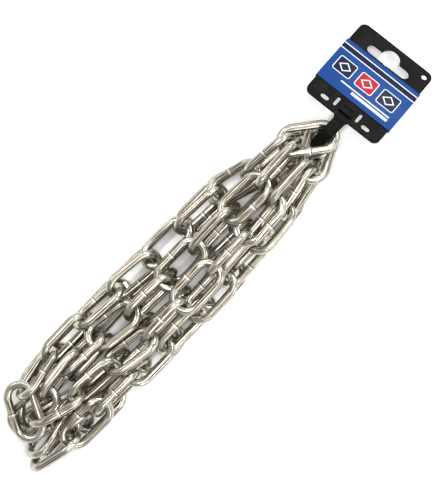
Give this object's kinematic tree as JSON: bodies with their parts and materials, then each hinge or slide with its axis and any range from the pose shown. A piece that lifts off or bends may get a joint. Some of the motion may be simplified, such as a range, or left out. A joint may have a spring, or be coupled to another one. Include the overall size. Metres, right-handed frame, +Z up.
{
  "type": "hank of chain",
  "caption": "Length of welded long-link steel chain folded to and fro into a flat hank, with its top links held by the strap of a plastic hang tag.",
  "frame": {"origin": "middle of the underside of the hank as it lies on the floor", "axes": "+X along the hank, from the loose end loops to the hang tag; +Z up"},
  "size_m": [0.39, 0.0744, 0.0556],
  "materials": {
    "zinc": "bright zinc plate over drawn and welded wire",
    "tag_plastic": "fine-textured black moulding",
    "label": "printed, slightly glossy"
  },
  "bodies": {
    "root": {"link_01": "zinc", "link_02": "zinc", "link_11": "zinc", "link_20": "zinc", "link_29": "zinc", "link_36": "zinc", "link_37": "zinc", "link_38": "zinc", "link_39": "zinc", "link_40": "zinc", "link_41": "zinc", "link_42": "zinc", "link_43": "zinc", "link_44": "zinc", "link_45": "zinc", "link_46": "zinc", "link_47": "zinc", "link_48": "zinc", "link_49": "zinc", "link_50": "zinc", "link_51": "zinc", "link_52": "zinc", "link_53": "zinc", "link_54": "zinc", "link_55": "zinc", "link_56": "zinc", "link_57": "zinc", "link_58": "zinc", "link_59": "zinc", "link_60": "zinc", "link_61": "zinc", "link_62": "zinc", "link_63": "zinc", "link_64": "zinc", "link_65": "zinc", "link_66": "zinc", "link_67": "zinc", "link_68": "zinc", "link_69": "zinc", "link_70": "zinc", "link_71": "zinc", "link_72": "zinc", "link_73": "zinc", "link_74": "zinc", "link_75": "zinc", "links_03_to_05": "zinc", "links_06_to_08": "zinc", "links_09_to_10": "zinc", "links_12_to_14": "zinc", "links_15_to_17": "zinc", "links_18_to_19": "zinc", "links_21_to_23": "zinc", "links_24_to_26": "zinc", "links_27_to_28": "zinc", "links_30_to_32": "zinc", "links_33_to_35": "zinc", "hang_tag": "tag_plastic", "label_sleeve": "label"}
  },
  "joints": []
}
